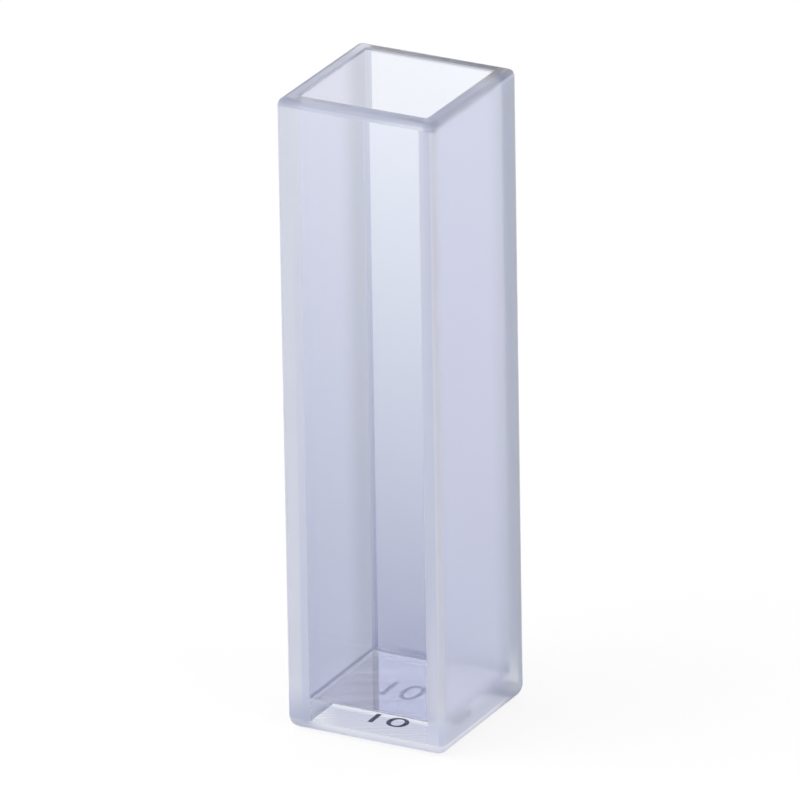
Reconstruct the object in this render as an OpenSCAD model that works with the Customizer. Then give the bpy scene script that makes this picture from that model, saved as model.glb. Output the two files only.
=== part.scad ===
// Rectangular sample cell, open at the top, for a standard 10 mm light path.
// It is one fused glass body. Two clear windows stand between two full-depth
// ground sides, and all four walls enclose the base.
// The origin is the middle of the underside. +Z is up and light runs along Y.

/* [Cavity] */
// Light path, the gap between the two windows
path_length = 10; // [4:0.5:40]
// Gap between the two ground sides
cavity_w = 10; // [4:0.5:20]
// Radius of the fused fillet in each upright corner
corner_r = 0.15; // [0.05:0.05:0.8]
// Radius of the fused fillet round the floor
floor_r = 0.15; // [0.05:0.05:0.8]

/* [Walls] */
// Thickness of each clear window
window_t = 1.25; // [1.1:0.05:3]
// Thickness of each ground side
side_t = 1.25; // [1.1:0.05:3]
// Thickness of the base under the floor
base_t = 2.2; // [1:0.1:12]
// Overall height
height = 48; // [20:0.5:60]

/* [Edges] */
// Radius of the four upright outer edges
upright_r = 0.4; // [0.1:0.05:0.7]
// Radius of the outer edges round the rim
rim_r = 0.55; // [0.1:0.05:0.7]
// Radius of the edges round the underside
foot_r = 0.9; // [0.1:0.05:0.95]
// Leg of the 45 degree bevel round the mouth of the cavity
mouth_bevel = 0.12; // [0.02:0.02:0.3]

/* [Hidden] */
outer_w = cavity_w + 2 * side_t;
outer_d = path_length + 2 * window_t;
cavity_h = height - base_t;
// How far each cutting form runs on past the surface that it opens
overrun = 1;
// Facets on a full circle
$fn = 64;

// Rectangle centred on X that stands on Y = 0, with one radius in its two
// lower corners and another in its two upper ones
module rounded_profile(w, h, lower_r, upper_r) {
    translate([lower_r - w / 2, 0]) square([w - 2 * lower_r, h / 2]);
    translate([upper_r - w / 2, h / 2]) square([w - 2 * upper_r, h / 2]);
    translate([-w / 2, lower_r]) square([w, h - lower_r - upper_r]);
    for (side = [-1, 1]) {
        translate([side * (w / 2 - lower_r), lower_r]) circle(lower_r);
        translate([side * (w / 2 - upper_r), h - upper_r]) circle(upper_r);
    }
}

// Runs a profile of X and Y up along Z, with the profile's own Y centred
module along_z(d, length) {
    translate([0, -d / 2, 0]) linear_extrude(length) children();
}

// Stands a profile up and runs it along Y, centred
module along_y(length) {
    translate([0, length / 2, 0]) rotate([90, 0, 0]) linear_extrude(length) children();
}

// Stands a profile up and runs it along X, centred
module along_x(length) {
    rotate([0, 0, 90]) along_y(length) children();
}

// The outside of the cell: plan, front and side profiles meet, so the rounded
// edges run into each other at the eight corners
module ground_block() {
    intersection() {
        along_z(outer_d, height) rounded_profile(outer_w, outer_d, upright_r, upright_r);
        along_y(outer_d) rounded_profile(outer_w, height, foot_r, rim_r);
        along_x(outer_w) rounded_profile(outer_d, height, foot_r, rim_r);
    }
}

// The sample space: its fillets run up the corners and round the floor, and
// it leaves through the rim
module sample_space() {
    cut_h = cavity_h + overrun;
    translate([0, 0, base_t]) intersection() {
        along_z(path_length, cut_h) rounded_profile(cavity_w, path_length, corner_r, corner_r);
        along_y(path_length) rounded_profile(cavity_w, cut_h, floor_r, floor_r);
        along_x(cavity_w) rounded_profile(path_length, cut_h, floor_r, floor_r);
    }
}

// Trapezium that widens at 45 degrees from the cavity's width to past the rim
module mouth_profile(w) {
    top = w / 2 + overrun;
    foot = w / 2 - mouth_bevel;
    polygon([
        [-foot, -2 * mouth_bevel], [foot, -2 * mouth_bevel],
        [top, overrun - mouth_bevel], [-top, overrun - mouth_bevel],
    ]);
}

// The bevel round the mouth, mitred in its four corners
module mouth_cut() {
    translate([0, 0, height]) intersection() {
        along_y(path_length + 2 * overrun) mouth_profile(cavity_w);
        along_x(cavity_w + 2 * overrun) mouth_profile(path_length);
    }
}

// One fused body: windows facing Y, ground sides facing X, and the base
module cell_body() {
    color([0.82, 0.84, 0.91]) difference() {
        ground_block();
        sample_space();
        mouth_cut();
    }
}

cell_body();
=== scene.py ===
"""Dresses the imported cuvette: one fused glass cell with clear windows and ground sides, and its studio."""

import logging
import math
from dataclasses import dataclass
from enum import Enum
from typing import Any, Optional, Union

import bmesh
import bpy
from mathutils import Matrix, Vector


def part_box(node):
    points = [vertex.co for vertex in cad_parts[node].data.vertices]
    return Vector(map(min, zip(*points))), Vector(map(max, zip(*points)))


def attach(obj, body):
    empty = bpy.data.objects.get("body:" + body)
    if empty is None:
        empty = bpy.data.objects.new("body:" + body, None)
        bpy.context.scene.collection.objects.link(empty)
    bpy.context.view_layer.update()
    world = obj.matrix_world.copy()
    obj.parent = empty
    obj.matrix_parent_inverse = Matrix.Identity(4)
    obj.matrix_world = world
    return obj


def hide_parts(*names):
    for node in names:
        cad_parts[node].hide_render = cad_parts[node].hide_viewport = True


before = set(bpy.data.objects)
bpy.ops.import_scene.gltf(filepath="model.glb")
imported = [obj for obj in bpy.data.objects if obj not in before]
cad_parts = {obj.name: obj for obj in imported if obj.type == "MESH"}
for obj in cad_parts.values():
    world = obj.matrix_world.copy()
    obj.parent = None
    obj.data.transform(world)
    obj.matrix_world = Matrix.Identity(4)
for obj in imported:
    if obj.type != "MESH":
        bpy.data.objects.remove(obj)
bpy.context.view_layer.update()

LOG = logging.getLogger("cuvette")
MM = 0.001
BODY = "root"
NODE = "cell_body"

Colour = tuple[float, float, float]
Number = Union[float, int, "Value"]
WHITE: Colour = (1.0, 1.0, 1.0)


def srgb(red: int, green: int, blue: int) -> Colour:
    """Turns a colour written as 0 to 255 screen values into the linear values that shaders take.

    Args:
        red: Screen value of red.
        green: Screen value of green.
        blue: Screen value of blue.

    Returns:
        The three linear values.
    """
    def linear(value: int) -> float:
        """Turns one screen value into a linear one."""
        share = value / 255
        return share / 12.92 if share <= 0.04045 else ((share + 0.055) / 1.055) ** 2.4

    return linear(red), linear(green), linear(blue)


# ---------------------------------------------------------------- node graphs


class Value:
    """A socket that carries a number, so that maths on it is written as a Python expression."""

    def __init__(self, graph: "Graph", socket: bpy.types.NodeSocket) -> None:
        """Keeps the socket and the graph that its maths nodes go into."""
        self.graph = graph
        self.socket = socket

    def _with(self, operation: str, *others: Number) -> "Value":
        """Adds one Math node that takes this value first."""
        return self.graph.math(operation, self, *others)

    def __add__(self, other: Number) -> "Value":
        """Adds other to this value."""
        return self._with("ADD", other)

    __radd__ = __add__

    def __sub__(self, other: Number) -> "Value":
        """Takes other from this value."""
        return self._with("SUBTRACT", other)

    def __rsub__(self, other: Number) -> "Value":
        """Takes this value from other."""
        return self.graph.math("SUBTRACT", other, self)

    def __mul__(self, other: Number) -> "Value":
        """Multiplies this value by other."""
        return self._with("MULTIPLY", other)

    __rmul__ = __mul__

    def __truediv__(self, other: Number) -> "Value":
        """Divides this value by other."""
        return self._with("DIVIDE", other)

    def __rtruediv__(self, other: Number) -> "Value":
        """Divides other by this value."""
        return self.graph.math("DIVIDE", other, self)

    def __abs__(self) -> "Value":
        """Drops the sign."""
        return self._with("ABSOLUTE")

    def __gt__(self, other: Number) -> "Value":
        """Gives 1 where this value is above other, and 0 elsewhere."""
        return self._with("GREATER_THAN", other)

    def __lt__(self, other: Number) -> "Value":
        """Gives 1 where this value is below other, and 0 elsewhere."""
        return self._with("LESS_THAN", other)

    def larger(self, other: Number) -> "Value":
        """Gives the larger of this value and other."""
        return self._with("MAXIMUM", other)

    def smaller(self, other: Number) -> "Value":
        """Gives the smaller of this value and other."""
        return self._with("MINIMUM", other)

    def clamped(self) -> "Value":
        """Holds this value between 0 and 1."""
        return self.larger(0.0).smaller(1.0)

    def eased(self, low: float, high: float) -> "Value":
        """Turns this value into a share that rises smoothly from 0 to 1.

        Args:
            low: Where the share is 0. It may be above high.
            high: Where the share is 1.

        Returns:
            The share.
        """
        step = self.graph.node(
            "ShaderNodeMapRange",
            {"interpolation_type": "SMOOTHSTEP"},
            {"Value": self, "From Min": low, "From Max": high},
        )
        return Value(self.graph, step.outputs["Result"])


class Graph:
    """A node tree, of a material, the world or Geometry Nodes, with short ways to fill it."""

    def __init__(self, tree: bpy.types.NodeTree) -> None:
        """Keeps the tree that nodes are added to."""
        self.tree = tree

    def node(
        self,
        kind: str,
        settings: Optional[dict[str, Any]] = None,
        inputs: Optional[dict[Union[str, int], Any]] = None,
    ) -> bpy.types.Node:
        """Adds a node.

        Args:
            kind: The node's type name.
            settings: Properties of the node, such as a Math node's operation, set first.
            inputs: Values or links of its sockets, by name or by place.

        Returns:
            The new node.
        """
        node = self.tree.nodes.new(kind)
        for name, value in (settings or {}).items():
            setattr(node, name, value)
        for key, value in (inputs or {}).items():
            self.feed(node.inputs[key], value)
        return node

    def feed(self, socket: bpy.types.NodeSocket, value: Any) -> None:
        """Links a socket, or sets the value it has with no link.

        Args:
            socket: The input socket.
            value: A Value, a node's output socket, a colour or a plain value.
        """
        if isinstance(value, Value):
            self.tree.links.new(value.socket, socket)
        elif isinstance(value, bpy.types.NodeSocket):
            self.tree.links.new(value, socket)
        elif socket.type == "RGBA" and len(value) == 3:
            socket.default_value = (*value, 1.0)
        else:
            socket.default_value = value

    def math(self, operation: str, *values: Number) -> Value:
        """Adds a Math node.

        Args:
            operation: The node's operation.
            values: Its inputs in order.

        Returns:
            The node's result.
        """
        node = self.node("ShaderNodeMath", {"operation": operation}, dict(enumerate(values)))
        return Value(self, node.outputs[0])

    def axes(self, vector: bpy.types.NodeSocket) -> tuple[Value, Value, Value]:
        """Splits a vector into its three numbers."""
        split = self.node("ShaderNodeSeparateXYZ", None, {0: vector})
        return tuple(Value(self, out) for out in split.outputs)

    def mixed(self, share: Number, low: Any, high: Any) -> bpy.types.NodeSocket:
        """Mixes two colours.

        Args:
            share: How much of the second colour shows, from 0 to 1.
            low: The colour at 0.
            high: The colour at 1.

        Returns:
            The mixed colour's socket.
        """
        mix = self.node("ShaderNodeMix", {"data_type": "RGBA"})
        colours = [s for s in mix.inputs if s.type == "RGBA"]
        self.feed(mix.inputs[0], share)
        self.feed(colours[0], low)
        self.feed(colours[1], high)
        return next(s for s in mix.outputs if s.type == "RGBA")


def blank_material(name: str) -> tuple[bpy.types.Material, Graph]:
    """Makes a material that has no nodes yet.

    Args:
        name: The material's name.

    Returns:
        The material, and the graph that its nodes go into.
    """
    material = bpy.data.materials.new(name)
    material.use_nodes = True
    material.node_tree.nodes.clear()
    return material, Graph(material.node_tree)


# ------------------------------------------------------------------- finishes


class Zone(Enum):
    """The kinds of surface on the cell. Each value names the face attribute that marks it."""

    PANE_OUTSIDE = "pane_outside"
    PANE_INSIDE = "pane_inside"
    SIDE_OUTSIDE = "side_outside"
    SIDE_INSIDE = "side_inside"
    END = "side_end"
    SEAM = "fused_seam"
    EDGE = "rounded_edge"
    RIM = "ground_rim"
    RIM_BREAK = "rim_break"
    RIM_EDGE = "rim_edge"
    MOUTH = "mouth_bevel"
    FLOOR = "inner_floor"
    UNDERSIDE = "underside"
    FOOT_EDGE = "foot_edge"


class Reach(Enum):
    """Where a painted tone of light or shade takes over: its axis (0 for x, 1 for y, 2 for z), where it
    starts and where it is full.
    """

    LEFT_WALL = (0, -4.7 * MM, -5.2 * MM)
    LEFT_END = (0, -4.95 * MM, -5.1 * MM)
    RIGHT_END = (0, 4.5 * MM, 4.9 * MM)
    LEFT_OF_BAND = (0, -1.8 * MM, -5.0 * MM)
    TOWARDS_LEFT = (0, 5.0 * MM, -3.5 * MM)
    FRONT_WALL = (1, -4.8 * MM, -5.5 * MM)
    BACK_WALL = (1, 1.5 * MM, 5.0 * MM)
    LOWER_WALL = (2, 14.0 * MM, 2.0 * MM)
    FOOT = (2, 4.0 * MM, 1.3 * MM)
    UNDER_FLOOR = (2, 2.5 * MM, 2.2 * MM)
    LOWER_BASE = (2, 1.35 * MM, 1.0 * MM)


@dataclass(frozen=True)
class Shade:
    """A painted tone of light or shade that takes a zone over in one place.

    Attributes:
        reach: The place.
        colour: The painted tone.
        within: A second place that the tone keeps to as well.
    """

    reach: Reach
    colour: Colour
    within: Optional[Reach] = None


@dataclass(frozen=True)
class Finish:
    """How one zone of the glass is worked, and the tone that it has, which is partly the glass's own tint and
    partly painted light and shade.

    Attributes:
        tone: Colour at the rim, and all over where no foot colour is given; partly tint, partly painted light
            and shade.
        foot: Colour at the underside, which turns evenly into the other one; a painted gradient of light and
            shade, darker at the foot in most zones.
        roughness: Micro-roughness of the surface.
        haze: Share of the light that a ground surface scatters wide.
        shades: Painted light and shade of some places, each over those before it.
    """

    tone: Colour
    foot: Optional[Colour] = None
    roughness: float = 0.0
    haze: float = 0.0
    shades: tuple[Shade, ...] = ()


# Tones by zone. Most of them are painted light and shade: darker towards the foot, lighter on the left,
# darker at the back. Only the pale lavender tint is the glass's own.
FINISHES_AND_PAINTED_LIGHT: dict[Zone, Finish] = {
    # Painted shade: the window is darker below the floor level, standing in for the shaded floor under the
    # base seen through it, with painted lighter and darker parts towards its left end.
    Zone.PANE_OUTSIDE: Finish(srgb(255, 255, 255), shades=(
        Shade(Reach.UNDER_FLOOR, srgb(193, 197, 217)),
        Shade(Reach.LEFT_OF_BAND, srgb(255, 255, 255)),
        Shade(Reach.LEFT_OF_BAND, srgb(203, 206, 222), within=Reach.LOWER_BASE),
    )),
    # Painted shade: darker towards the bottom, standing in for the cell's shadow on the floor behind it, seen
    # through the windows.
    Zone.PANE_INSIDE: Finish(srgb(240, 244, 252), srgb(156, 161, 190)),
    # Painted light and shade: darker at the foot, lighter on the left side where the light falls, darker
    # towards the back.
    Zone.SIDE_OUTSIDE: Finish(srgb(231, 232, 249), srgb(239, 241, 255), roughness=0.3, haze=0.1, shades=(
        Shade(Reach.FOOT, srgb(175, 179, 202)),
        Shade(Reach.LEFT_WALL, srgb(244, 244, 255)),
        Shade(Reach.BACK_WALL, srgb(196, 199, 204)),
    )),
    # Painted light and shade: a little darker on the left side and lighter towards the foot.
    Zone.SIDE_INSIDE: Finish(srgb(235, 235, 246), srgb(233, 234, 247), roughness=0.12, shades=(
        Shade(Reach.LEFT_WALL, srgb(233, 235, 244)),
        Shade(Reach.LOWER_WALL, srgb(244, 246, 255)),
    )),
    # Painted light and shade: the ground ends are darker on the right end and at the back, lighter low on the
    # right end, lighter on the left, and darkest at the foot.
    Zone.END: Finish(srgb(247, 250, 255), srgb(232, 235, 253), roughness=0.45, haze=0.68, shades=(
        Shade(Reach.RIGHT_END, srgb(230, 233, 247)),
        Shade(Reach.RIGHT_END, srgb(244, 247, 255), within=Reach.LOWER_WALL),
        Shade(Reach.BACK_WALL, srgb(236, 238, 250)),
        Shade(Reach.LEFT_END, srgb(246, 248, 255)),
        Shade(Reach.FOOT, srgb(210, 214, 233)),
        Shade(Reach.RIGHT_END, srgb(228, 232, 249), within=Reach.FOOT),
    )),
    # Painted shade: the fused fillets darken towards the foot and along the floor's edge, where shade falls
    # in the crease.
    Zone.SEAM: Finish(srgb(236, 238, 248), srgb(196, 199, 216), roughness=0.5, shades=(
        Shade(Reach.UNDER_FLOOR, srgb(178, 181, 198)),
    )),
    # Painted shade: the rounded uprights darken towards the foot.
    Zone.EDGE: Finish(srgb(249, 249, 255), roughness=0.5, haze=0.55, shades=(
        Shade(Reach.FOOT, srgb(212, 216, 237)),
    )),
    # Painted light and shade: the ground rim's grey stands in for the shaded floor seen through it, darkest
    # at the back and towards the front left, and lit on the left.
    Zone.RIM: Finish(srgb(226, 227, 231), roughness=0.6, shades=(
        Shade(Reach.FRONT_WALL, srgb(230, 231, 235)),
        Shade(Reach.TOWARDS_LEFT, srgb(188, 190, 195)),
        Shade(Reach.BACK_WALL, srgb(152, 149, 140)),
        Shade(Reach.LEFT_WALL, srgb(252, 252, 254)),
    )),
    # Painted shade: the rim's outer break is darker on the left, at the front and at the back.
    Zone.RIM_BREAK: Finish(srgb(234, 236, 240), roughness=0.5, shades=(
        Shade(Reach.LEFT_WALL, srgb(160, 162, 182)),
        Shade(Reach.FRONT_WALL, srgb(208, 209, 217)),
        Shade(Reach.BACK_WALL, srgb(168, 168, 168)),
    )),
    Zone.RIM_EDGE: Finish(srgb(236, 236, 244), roughness=0.4),
    # Painted shade: the mouth's bevel is darker at the back.
    Zone.MOUTH: Finish(srgb(254, 254, 255), roughness=0.3, shades=(
        Shade(Reach.BACK_WALL, srgb(150, 152, 170)),
    )),
    # Painted shade: the inner floor is greyed, standing in for the shaded floor under the cell seen through
    # the base.
    Zone.FLOOR: Finish(srgb(207, 203, 204)),
    # Painted shade: the underside is dark, standing in for the unlit floor right under the cell.
    Zone.UNDERSIDE: Finish(srgb(119, 122, 145), roughness=0.3),
    # Painted light and shade: the foot's edge is darker at the back and on the left, lighter at the front,
    # and lightest at the front left.
    Zone.FOOT_EDGE: Finish(srgb(228, 230, 242), roughness=0.5, shades=(
        Shade(Reach.BACK_WALL, srgb(188, 191, 206)),
        Shade(Reach.LEFT_WALL, srgb(210, 213, 228)),
        Shade(Reach.FRONT_WALL, srgb(236, 238, 248)),
        Shade(Reach.LEFT_WALL, srgb(252, 253, 255), within=Reach.FRONT_WALL),
    )),
}


@dataclass(frozen=True)
class FusedGlass:
    """The one glass of the cell, which is finished zone by zone, has light and shade painted on zone by zone,
    and tints what crosses its depth.

    Attributes:
        height: Height over which a foot colour, mostly painted shade, turns into the rim's.
        name: The material's name.
        index: Refractive index.
        body_tint: Colour that the glass lets through best.
        body_density: How fast the glass tints light, per metre.
        scattered_back: Share of the scattered light that turns back.
    """

    height: float
    name: str = "fused_glass"
    index: float = 1.46
    body_tint: Colour = (0.415, 0.530, 0.925)
    body_density: float = 28.0
    scattered_back: float = 0.5

    def build(self) -> bpy.types.Material:
        """Makes the material.

        Returns:
            The material.
        """
        material, graph = blank_material(self.name)
        coords = graph.node("ShaderNodeTexCoord").outputs["Object"]
        places = graph.axes(coords)
        # The tones mixed below paint light and shade onto the glass by height and by place.
        rise = (places[2] / self.height).clamped()
        reached = {reach: places[reach.value[0]].eased(*reach.value[1:]) for reach in Reach}
        colour: Any = FINISHES_AND_PAINTED_LIGHT[Zone.PANE_OUTSIDE].tone
        roughness: Number = 0.0
        haze: Number = 0.0
        for zone, finish_and_light in FINISHES_AND_PAINTED_LIGHT.items():
            marked = Value(graph, graph.node(
                "ShaderNodeAttribute", {"attribute_name": zone.value}).outputs["Fac"])
            tone: Any = graph.mixed(rise, finish_and_light.foot, finish_and_light.tone) if finish_and_light.foot else finish_and_light.tone
            for shade in finish_and_light.shades:
                share = reached[shade.reach]
                if shade.within:
                    share = share * reached[shade.within]
                tone = graph.mixed(share, tone, shade.colour)
            colour = graph.mixed(marked, colour, tone)
            roughness = marked * finish_and_light.roughness + roughness
            haze = marked * finish_and_light.haze + haze
        shader = graph.node("ShaderNodeBsdfPrincipled", None, {
            "Base Color": colour,
            "Roughness": roughness,
            "IOR": self.index,
            "Transmission Weight": 1.0,
        })
        through = graph.node("ShaderNodeBsdfTranslucent", None, {"Color": colour})
        back = graph.node("ShaderNodeBsdfDiffuse", None, {"Color": colour})
        scatter = graph.node("ShaderNodeMixShader", None, {
            0: self.scattered_back, 1: through.outputs[0], 2: back.outputs[0],
        })
        surface = graph.node("ShaderNodeMixShader", None, {
            0: haze, 1: shader.outputs[0], 2: scatter.outputs[0],
        })
        depth = graph.node("ShaderNodeVolumeAbsorption", None, {
            "Color": self.body_tint, "Density": self.body_density,
        })
        graph.node("ShaderNodeOutputMaterial", None, {
            "Surface": surface.outputs[0], "Volume": depth.outputs[0],
        })
        return material


# ------------------------------------------------------------------ cell body

WALL_INPUTS = {
    "Size": "NodeSocketVector",
    "Side wall": "NodeSocketFloat",
    "Window wall": "NodeSocketFloat",
    "Base": "NodeSocketFloat",
}


@dataclass
class CellBody:
    """The fused glass cell: a block with rounded edges and a square sample space, open at the top.

    Attributes:
        low: Lowest corner of the block.
        high: Highest corner of the block.
        side_wall: Thickness of each ground side.
        window_wall: Thickness of each clear window.
        base: Thickness of the base.
        upright_radius: Radius of the four upright outer edges.
        rim_radius: Radius of the outer edges round the rim.
        foot_radius: Radius of the edges round the underside.
        mouth_bevel: Leg of the bevel round the mouth.
        fillet: Radius of the fused fillets in the sample space.
        arris: Width of the softening where the mouth's bevel meets a face.
        ground_overlap: How far the ground end of the left side reaches onto the front window.
        edge_steps: Faces across a rounded outer edge.
        mouth_steps: Faces across the bevel round the mouth.
        fillet_steps: Faces across a fillet.
        arris_steps: Faces across an arris.
        sharp_angle: Angle in degrees from which an edge counts as sharp and gets an arris.
        flat_weight: How strongly a flat face holds the shading of its rounded neighbours.
    """

    low: Vector
    high: Vector
    side_wall: float = 1.25 * MM
    window_wall: float = 1.25 * MM
    base: float = 2.2 * MM
    upright_radius: float = 0.4 * MM
    rim_radius: float = 0.55 * MM
    foot_radius: float = 0.9 * MM
    mouth_bevel: float = 0.12 * MM
    fillet: float = 0.15 * MM
    arris: float = 0.03 * MM
    ground_overlap: float = 0.58 * MM
    edge_steps: int = 10
    mouth_steps: int = 1
    fillet_steps: int = 4
    arris_steps: int = 2
    sharp_angle: float = 30.0
    flat_weight: int = 100

    @property
    def size(self) -> Vector:
        """Outer width, depth and height."""
        return self.high - self.low

    @staticmethod
    def _new_group(name: str, inputs: dict[str, str]) -> tuple[Graph, bpy.types.Node]:
        """Starts a Geometry Nodes group.

        Args:
            name: The group's name.
            inputs: Its inputs after the geometry, each name with its socket type.

        Returns:
            The graph, and the node that holds its inputs.
        """
        group = bpy.data.node_groups.new(name, "GeometryNodeTree")
        for label, kind in {"Geometry": "NodeSocketGeometry", **inputs}.items():
            group.interface.new_socket(label, in_out="INPUT", socket_type=kind)
        group.interface.new_socket("Geometry", in_out="OUTPUT", socket_type="NodeSocketGeometry")
        graph = Graph(group)
        return graph, graph.node("NodeGroupInput")

    @staticmethod
    def _marked(
        graph: Graph, geometry: Any, name: str, domain: str, amount: Value,
    ) -> bpy.types.NodeSocket:
        """Stores a number on each edge or face of a geometry.

        Args:
            graph: The group's graph.
            geometry: The geometry so far.
            name: The attribute's name.
            domain: EDGE or FACE.
            amount: The number to store.

        Returns:
            The geometry with its attribute.
        """
        return graph.node(
            "GeometryNodeStoreNamedAttribute", {"data_type": "FLOAT", "domain": domain}, {
                "Geometry": geometry, "Name": name, "Value": amount,
            }).outputs[0]

    def block_group(self) -> bpy.types.NodeTree:
        """Builds the group that makes the square block with its sample space and marks its edges.

        Returns:
            The node group.
        """
        graph, given = self._new_group("cell_block", {
            **WALL_INPUTS,
            "Ground overlap": "NodeSocketFloat",
            "Upright share": "NodeSocketFloat",
            "Rim share": "NodeSocketFloat",
        })
        wide, deep, tall = graph.axes(given.outputs["Size"])
        half_w = wide / 2
        half_d = deep / 2
        room_w = half_w - Value(graph, given.outputs["Side wall"])
        room_d = half_d - Value(graph, given.outputs["Window wall"])
        base = Value(graph, given.outputs["Base"])
        cube = graph.node("GeometryNodeMeshCube", None, {
            "Size": given.outputs["Size"], "Vertices X": 4, "Vertices Y": 4, "Vertices Z": 2,
        })
        x, y, z = graph.axes(graph.node("GeometryNodeInputPosition").outputs[0])
        outermost = 0.9  # share of the half size past which only the block's own sides lie
        near_top = 0.99  # share of the height past which only the top lies
        middle = 0.5  # share of the room within which only its own middle lies

        def ruled(value: Value, half: Value, room: Value) -> Value:
            """Moves the two inner grid lines to where the walls begin."""
            outer = abs(value) > half * outermost
            return graph.math("SIGN", value) * (room + outer * (half - room))

        overlap = Value(graph, given.outputs["Ground overlap"]) * (x < 0) * (y < half_d * -outermost)
        placed = graph.node("ShaderNodeCombineXYZ", None, {
            "X": ruled(x, half_w, room_w - overlap), "Y": ruled(y, half_d, room_d), "Z": z + tall / 2,
        })
        lined = graph.node("GeometryNodeSetPosition", None, {
            "Geometry": cube.outputs["Mesh"], "Position": placed.outputs[0],
        })
        mouth = (z > tall * near_top) * (abs(x) < room_w * middle) * (abs(y) < room_d * middle)
        drop = graph.node("ShaderNodeCombineXYZ", None, {"Z": base - tall})
        hollow = graph.node("GeometryNodeExtrudeMesh", {"mode": "FACES"}, {
            "Mesh": lined.outputs[0], "Selection": mouth, "Offset": drop.outputs[0],
            "Offset Scale": 1.0, "Individual": False,
        })
        slack = 0.001  # share of the height by which a place may be missed

        def at(value: Value, place: Value) -> Value:
            """Gives 1 where a distance from the axis is at a place, and 0 elsewhere."""
            return abs(abs(value) - place) < tall * slack

        outer_x = at(x, half_w)
        outer_y = at(y, half_d)
        at_top = at(z, tall)
        at_foot = abs(z) < tall * slack
        at_floor = at(z, base)
        room_x = at(x, room_w)
        room_y = at(y, room_d)
        in_room = (abs(x) < room_w + tall * slack) * (abs(y) < room_d + tall * slack)
        outside = outer_x.larger(outer_y)
        upright = outer_x * outer_y * Value(graph, given.outputs["Upright share"])
        rim = outside * at_top * Value(graph, given.outputs["Rim share"])
        foot = outside * at_foot
        mouth_edge = at_top * in_room * room_x.larger(room_y)
        corner = room_x * room_y * (z < tall * (1 - slack)) * (z > base * (1 + slack))
        floor_edge = at_floor * in_room * room_x.larger(room_y)
        geometry: Any = hollow.outputs["Mesh"]
        for name, amount in (
            ("outer_edge", upright.larger(rim).larger(foot)),
            ("mouth_edge", mouth_edge),
            ("inner_edge", corner.larger(floor_edge)),
        ):
            geometry = self._marked(graph, geometry, name, "EDGE", amount)
        real = graph.node("GeometryNodeRealizeInstances", None, {"Geometry": geometry})
        graph.node("NodeGroupOutput", None, {"Geometry": real.outputs[0]})
        return graph.tree

    def finish_group(self) -> bpy.types.NodeTree:
        """Builds the group that marks each face with its zone by its place, and dresses the cell.

        Returns:
            The node group.
        """
        graph, given = self._new_group("cell_finish", {
            **WALL_INPUTS,
            "Rim radius": "NodeSocketFloat",
            "Foot radius": "NodeSocketFloat",
            "Mouth bevel": "NodeSocketFloat",
            "Glass": "NodeSocketMaterial",
        })
        wide, deep, tall = graph.axes(given.outputs["Size"])
        room_w = wide / 2 - Value(graph, given.outputs["Side wall"])
        room_d = deep / 2 - Value(graph, given.outputs["Window wall"])
        base = Value(graph, given.outputs["Base"])
        mouth = Value(graph, given.outputs["Mouth bevel"])
        x, y, z = graph.axes(graph.node("GeometryNodeInputPosition").outputs[0])
        nx, ny, nz = graph.axes(graph.node("GeometryNodeInputNormal").outputs[0])
        slack = 1.002  # how far past a wall's face its own faces still count
        from_floor = 0.99  # share of the base from which the floor counts as inside
        level = 0.999  # length along an axis from which a face counts as square to it
        upward = 0.5  # rise of a normal that parts the rim's break from its edge
        flat_x = abs(nx) > level
        flat_y = abs(ny) > level
        flat_z = abs(nz) > level
        inside = (abs(x) < room_w * slack) * (abs(y) < room_d * slack) * (z > base * from_floor)
        outside = 1 - inside
        near_rim = outside * (z > tall - Value(graph, given.outputs["Rim radius"]))
        near_foot = outside * (z < Value(graph, given.outputs["Foot radius"]))
        in_mouth = (abs(x) < room_w + mouth) * (abs(y) < room_d + mouth) * near_rim
        wall = (1 - near_rim) * (1 - near_foot)
        masks = {
            Zone.PANE_OUTSIDE: outside * wall * flat_y * (abs(x) < room_w),
            Zone.PANE_INSIDE: inside * flat_y,
            Zone.SIDE_OUTSIDE: outside * wall * flat_x,
            Zone.SIDE_INSIDE: inside * flat_x,
            Zone.END: outside * wall * flat_y * (abs(x) > room_w),
            Zone.SEAM: inside * (1 - flat_x) * (1 - flat_y) * (1 - flat_z),
            Zone.EDGE: outside * wall * (1 - flat_x) * (1 - flat_y),
            Zone.RIM: near_rim * flat_z,
            Zone.RIM_BREAK: near_rim * (1 - in_mouth) * (1 - flat_z) * (nz > upward),
            Zone.RIM_EDGE: near_rim * (1 - in_mouth) * (nz < upward),
            Zone.MOUTH: near_rim * in_mouth * (1 - flat_z),
            Zone.FLOOR: inside * flat_z,
            Zone.UNDERSIDE: near_foot * flat_z,
            Zone.FOOT_EDGE: near_foot * (1 - flat_z),
        }
        geometry: Any = given.outputs["Geometry"]
        for zone, mask in masks.items():
            geometry = self._marked(graph, geometry, zone.value, "FACE", mask)
        smooth = graph.node("GeometryNodeSetShadeSmooth", None, {"Geometry": geometry, "Shade Smooth": True})
        real = graph.node("GeometryNodeRealizeInstances", None, {"Geometry": smooth.outputs[0]})
        dressed = graph.node("GeometryNodeSetMaterial", None, {
            "Geometry": real.outputs[0], "Material": given.outputs["Glass"],
        })
        graph.node("NodeGroupOutput", None, {"Geometry": dressed.outputs[0]})
        return graph.tree

    @staticmethod
    def _run(piece: bpy.types.Object, group: bpy.types.NodeTree, values: dict[str, Any]) -> None:
        """Adds a Geometry Nodes modifier and sets its inputs by their identifiers.

        Args:
            piece: The object.
            group: The modifier's node group.
            values: The inputs' values by name. A name that the group lacks is passed over.
        """
        modifier = piece.modifiers.new(group.name, "NODES")
        modifier.node_group = group
        for item in group.interface.items_tree:
            if item.in_out == "INPUT" and item.name in values:
                modifier[item.identifier] = values[item.name]

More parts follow.
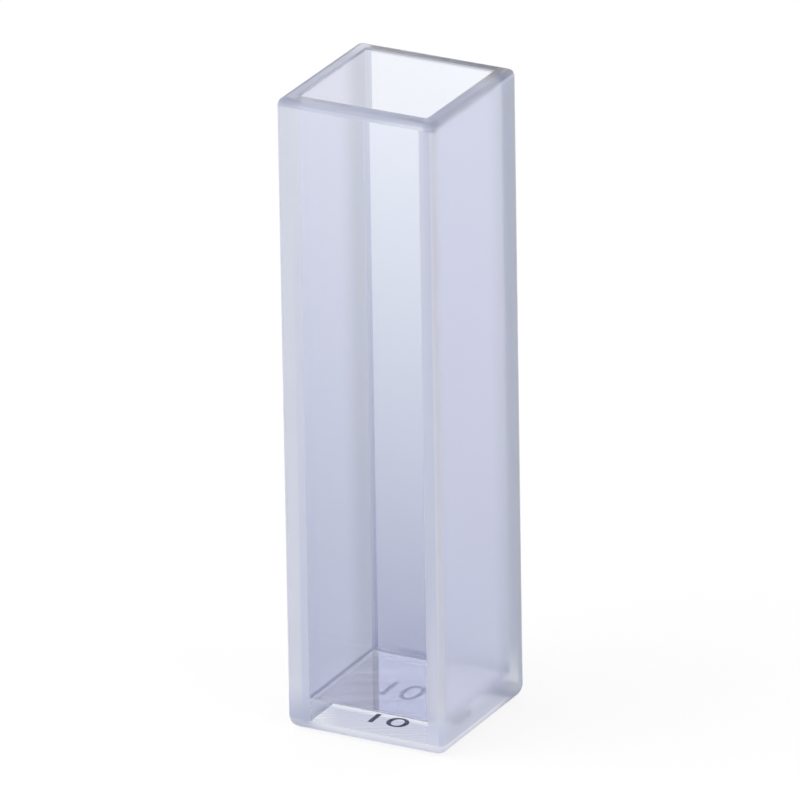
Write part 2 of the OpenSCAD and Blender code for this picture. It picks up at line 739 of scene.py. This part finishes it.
    def _bevel(
        self, piece: bpy.types.Object, name: str, width: float, steps: int, marks: Optional[str],
    ) -> None:
        """Adds a bevel on the edges that an attribute marks, or on every sharp edge.

        Args:
            piece: The object.
            name: The modifier's name.
            width: Leg of the bevel.
            steps: Number of faces across it.
            marks: Name of the edge attribute, or None for every edge with an angle.
        """
        bevel = piece.modifiers.new(name, "BEVEL")
        bevel.width = width
        bevel.segments = steps
        bevel.use_clamp_overlap = False
        if marks:
            bevel.limit_method = "WEIGHT"
            bevel.edge_weight = marks
        else:
            bevel.limit_method = "ANGLE"
            bevel.angle_limit = math.radians(self.sharp_angle)

    def build(self) -> bpy.types.Object:
        """Makes the cell as one closed mesh.

        Returns:
            The finished object, which rides on nothing yet.
        """
        sizes = {
            "Size": self.size,
            "Side wall": self.side_wall,
            "Window wall": self.window_wall,
            "Base": self.base,
            "Ground overlap": self.ground_overlap,
            "Upright share": self.upright_radius / self.foot_radius,
            "Rim share": self.rim_radius / self.foot_radius,
            "Rim radius": self.rim_radius,
            "Foot radius": self.foot_radius,
            "Mouth bevel": self.mouth_bevel,
        }
        maker = bpy.data.objects.new("cell_maker", bpy.data.meshes.new("cell_maker"))
        bpy.context.scene.collection.objects.link(maker)
        self._run(maker, self.block_group(), sizes)
        self._bevel(maker, "rounded_edges", self.foot_radius, self.edge_steps, "outer_edge")
        self._bevel(maker, "mouth_bevel", self.mouth_bevel, self.mouth_steps, "mouth_edge")
        self._bevel(maker, "fused_fillets", self.fillet, self.fillet_steps, "inner_edge")
        self._bevel(maker, "soft_arrises", self.arris, self.arris_steps, None)
        glass = FusedGlass(height=self.size.z).build()
        self._run(maker, self.finish_group(), {**sizes, "Glass": glass})
        weigh = maker.modifiers.new("flat_faces", "WEIGHTED_NORMAL")
        weigh.weight = self.flat_weight
        return frozen(maker, "glass_cell")


def frozen(maker: bpy.types.Object, name: str) -> bpy.types.Object:
    """Turns an object with live modifiers into a plain mesh object.

    Args:
        maker: The object whose modifiers make the shape. It is removed.
        name: Name of the result.

    Returns:
        The new object, with no modifier.
    """
    graph = bpy.context.evaluated_depsgraph_get()
    mesh = bpy.data.meshes.new_from_object(maker.evaluated_get(graph))
    mesh.name = name
    piece = bpy.data.objects.new(name, mesh)
    bpy.context.scene.collection.objects.link(piece)
    bpy.data.objects.remove(maker)
    return piece


# ------------------------------------------------------------------ path mark


@dataclass(frozen=True)
class PrintInk:
    """Dark ink, laid a little unevenly.

    Attributes:
        name: The material's name.
        thick: Colour where the ink is thick.
        thin: Colour where the ink is thin.
        patch: Width of a thick or thin patch, in metres.
        detail: How many finer layers of unevenness each patch has.
        thick_below: Noise value up to which the ink is thick.
        thin_above: Noise value from which the ink is thin.
        roughness: Micro-roughness of the ink.
    """

    name: str = "mark_ink"
    thick: Colour = srgb(58, 66, 104)
    thin: Colour = srgb(92, 102, 142)
    patch: float = 0.25 * MM
    detail: float = 3.0
    thick_below: float = 0.35
    thin_above: float = 0.65
    roughness: float = 0.6

    def build(self) -> bpy.types.Material:
        """Makes the material.

        Returns:
            The material.
        """
        material, graph = blank_material(self.name)
        coords = graph.node("ShaderNodeTexCoord").outputs["Object"]
        noise = graph.node("ShaderNodeTexNoise", None, {
            "Vector": coords, "Scale": 1 / self.patch, "Detail": self.detail,
        })
        thinness = Value(graph, noise.outputs[0]).eased(self.thick_below, self.thin_above)
        colour = graph.mixed(thinness, self.thick, self.thin)
        shader = graph.node("ShaderNodeBsdfPrincipled", None, {
            "Base Color": colour, "Roughness": self.roughness,
        })
        graph.node("ShaderNodeOutputMaterial", None, {"Surface": shader.outputs[0]})
        return material


@dataclass
class PathMark:
    """The plain number of the light path in millimetres, printed under the base to be read from above.

    Attributes:
        number: The number.
        digit_height: Height of a digit.
        thickness: Thickness of the ink.
        depth: How far inside the underside the ink lies.
        middle_x: Where the number's middle is across the cell.
        middle_y: Where the number's middle is along the light path.
        raw_depth: Half the depth of the digits before they are brought to size.
        weld: Distance within which corners become one.
    """

    number: int = 10
    digit_height: float = 2.6 * MM
    thickness: float = 0.01 * MM
    depth: float = 0.02 * MM
    middle_x: float = -0.25 * MM
    middle_y: float = 0.75 * MM
    raw_depth: float = 0.5
    weld: float = 0.001 * MM

    def build(self) -> bpy.types.Object:
        """Makes the number as a closed mesh.

        Returns:
            The finished object, which rides on nothing yet.
        """
        curve = bpy.data.curves.new("path_number", "FONT")
        curve.body = str(self.number)
        curve.extrude = self.raw_depth
        maker = bpy.data.objects.new("path_number", curve)
        bpy.context.scene.collection.objects.link(maker)
        piece = frozen(maker, "path_mark")
        corners = [vertex.co for vertex in piece.data.vertices]
        low = Vector([min(c[axis] for c in corners) for axis in range(3)])
        high = Vector([max(c[axis] for c in corners) for axis in range(3)])
        scale = self.digit_height / (high.y - low.y)
        place = Matrix.Translation((self.middle_x, self.middle_y, self.depth + self.thickness / 2))
        sized = Matrix.Diagonal((scale, scale, self.thickness / (high.z - low.z), 1.0))
        piece.data.transform(place @ sized @ Matrix.Translation(-(low + high) / 2))
        tidy = bmesh.new()
        tidy.from_mesh(piece.data)
        bmesh.ops.remove_doubles(tidy, verts=tidy.verts, dist=self.weld)
        bmesh.ops.recalc_face_normals(tidy, faces=tidy.faces)
        tidy.to_mesh(piece.data)
        tidy.free()
        piece.data.materials.clear()
        piece.data.materials.append(PrintInk().build())
        return piece


# --------------------------------------------------------------------- studio


def bearing(azimuth: float, elevation: float) -> Vector:
    """Finds the unit vector from the cell towards a place round it.

    Args:
        azimuth: Degrees round the cell, from the front towards the right.
        elevation: Degrees above the floor.

    Returns:
        The vector.
    """
    turn, lift = math.radians(azimuth), math.radians(elevation)
    return Vector((math.sin(turn) * math.cos(lift), -math.cos(turn) * math.cos(lift), math.sin(lift)))


@dataclass(frozen=True)
class Lamp:
    """One soft square lamp.

    Attributes:
        name: The lamp's name.
        azimuth: Its bearing round the cell, in degrees.
        elevation: Its height above the floor, in degrees.
        power: Its power in watts.
        size: Its width.
        mirrored: Whether the lamp itself shows in the glass.
    """

    name: str
    azimuth: float
    elevation: float
    power: float
    size: float = 0.35
    mirrored: bool = False


@dataclass
class Studio:
    """The floor, the pale surroundings and the lamps.

    Attributes:
        floor_radius: Reach of the floor.
        floor_sides: Number of sides of the round floor.
        floor_colour: Colour of the floor as it takes light and shadow.
        floor_white: Share of the floor that shows as plain white where it is seen.
        ambient: Brightness of the surroundings as they light plain surfaces.
        lamp_reach: Distance of each lamp from the cell.
        lamps: The lamps.
    """

    floor_radius: float = 1.5
    floor_sides: int = 64
    floor_colour: Colour = (0.9, 0.9, 0.9)
    floor_white: float = 0.85
    ambient: float = 0.75
    lamp_reach: float = 0.5
    lamps: tuple[Lamp, ...] = (
        Lamp("key_lamp", azimuth=-50.0, elevation=55.0, power=1.2),
        Lamp("fill_lamp", azimuth=80.0, elevation=35.0, power=0.5),
        Lamp("back_lamp", azimuth=208.0, elevation=22.5, power=0.144, size=0.1, mirrored=True),
    )

    @staticmethod
    def _seen(graph: Graph) -> Value:
        """Tells rays that are seen from those that only light a surface.

        Args:
            graph: The graph of the material or the world.

        Returns:
            1 for rays from the camera, off a gloss or through glass, and 0 for the rest.
        """
        path = graph.node("ShaderNodeLightPath").outputs
        seen = Value(graph, path["Is Camera Ray"])
        seen = seen.larger(Value(graph, path["Is Glossy Ray"]))
        return seen.larger(Value(graph, path["Is Transmission Ray"]))

    def light_world(self) -> None:
        """Makes the world white where it is seen, and a little dimmer where it lights plain surfaces."""
        world = bpy.data.worlds.new("pale_room")
        world.use_nodes = True
        world.node_tree.nodes.clear()
        graph = Graph(world.node_tree)
        strength = self.ambient + self._seen(graph) * (1 - self.ambient)
        sky = graph.node("ShaderNodeBackground", None, {"Color": WHITE, "Strength": strength})
        graph.node("ShaderNodeOutputWorld", None, {"Surface": sky.outputs[0]})
        bpy.context.scene.world = world

    def lay_floor(self) -> None:
        """Lays a plain pale floor that keeps the object's shadow."""
        mesh = bpy.data.meshes.new("floor")
        shape = bmesh.new()
        bmesh.ops.create_circle(shape, cap_ends=True, segments=self.floor_sides, radius=self.floor_radius)
        shape.to_mesh(mesh)
        shape.free()
        floor = bpy.data.objects.new("floor", mesh)
        bpy.context.scene.collection.objects.link(floor)
        material, graph = blank_material("pale_floor")
        plain = graph.node("ShaderNodeBsdfDiffuse", None, {"Color": self.floor_colour})
        glow = graph.node("ShaderNodeEmission", None, {"Color": WHITE, "Strength": 1.0})
        mix = graph.node("ShaderNodeMixShader", None, {
            0: self._seen(graph) * self.floor_white, 1: plain.outputs[0], 2: glow.outputs[0],
        })
        graph.node("ShaderNodeOutputMaterial", None, {"Surface": mix.outputs[0]})
        mesh.materials.append(material)

    def hang_lamp(self, given: Lamp) -> None:
        """Hangs one soft square lamp that faces the cell.

        Args:
            given: The lamp's place, size and power.
        """
        back = bearing(given.azimuth, given.elevation)
        lamp = bpy.data.lights.new(given.name, "AREA")
        lamp.energy = given.power
        lamp.size = given.size
        holder = bpy.data.objects.new(given.name, lamp)
        holder.location = back * self.lamp_reach
        holder.rotation_mode = "QUATERNION"
        holder.rotation_quaternion = back.to_track_quat("Z", "Y")
        holder.visible_camera = False
        holder.visible_transmission = given.mirrored
        holder.visible_glossy = given.mirrored
        bpy.context.scene.collection.objects.link(holder)

    def build(self) -> None:
        """Makes the whole studio."""
        self.light_world()
        self.lay_floor()
        for lamp in self.lamps:
            self.hang_lamp(lamp)


@dataclass
class Viewpoint:
    """The camera that shows the cell from in front and above.

    Attributes:
        azimuth: Bearing round the cell, in degrees.
        elevation: Height above the horizon, in degrees.
        roll: Turn about the line of sight, in degrees.
        distance: Distance from the aim point, in metres.
        lens: Focal length in millimetres.
        sensor: Width of the sensor in millimetres.
        aim_right: How far right of the cell's axis the camera aims.
        aim_up: Height that the camera aims at.
        nearest: Distance in metres from which things show.
        farthest: Distance in metres up to which things show.
    """

    azimuth: float = 28.0
    elevation: float = 22.46
    roll: float = -0.94
    distance: float = 1076.2 * MM
    lens: float = 686.7
    sensor: float = 36.0
    aim_right: float = -0.096 * MM
    aim_up: float = 23.994 * MM
    nearest: float = 0.01
    farthest: float = 10.0

    def build(self) -> bpy.types.Object:
        """Makes the camera and hands it to the scene.

        Returns:
            The camera object.
        """
        turn, roll = math.radians(self.azimuth), math.radians(self.roll)
        back = bearing(self.azimuth, self.elevation)
        right = Vector((math.cos(turn), math.sin(turn), 0.0))
        up = back.cross(right)
        right_rolled = right * math.cos(roll) + up * math.sin(roll)
        up_rolled = up * math.cos(roll) - right * math.sin(roll)
        aim = right * self.aim_right + Vector((0.0, 0.0, self.aim_up))
        lens = bpy.data.cameras.new("camera")
        lens.lens = self.lens
        lens.sensor_width = self.sensor
        lens.clip_start = self.nearest
        lens.clip_end = self.farthest
        camera = bpy.data.objects.new("camera", lens)
        turned = Matrix((right_rolled, up_rolled, back)).transposed().to_4x4()
        camera.matrix_world = Matrix.Translation(aim + back * self.distance) @ turned
        bpy.context.scene.collection.objects.link(camera)
        bpy.context.scene.camera = camera
        return camera


def set_view() -> None:
    """Keeps colours as written, and lets light cross every wall of the cell."""
    scene = bpy.context.scene
    scene.view_settings.view_transform = "Standard"
    scene.cycles.max_bounces = 32
    scene.cycles.transmission_bounces = 24
    scene.cycles.glossy_bounces = 16


def main() -> None:
    """Builds the studio, the camera and the cell, and reports each piece."""
    logging.basicConfig(level=logging.INFO, format="%(message)s")
    set_view()
    Studio().build()
    Viewpoint().build()
    low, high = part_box(NODE)
    cell = CellBody(low, high).build()
    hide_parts(NODE)
    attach(cell, BODY)
    mark = PathMark().build()
    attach(mark, BODY)
    for piece in (cell, mark):
        LOG.info("%s: %d faces", piece.name, len(piece.data.polygons))


if __name__ == "__main__":
    main()
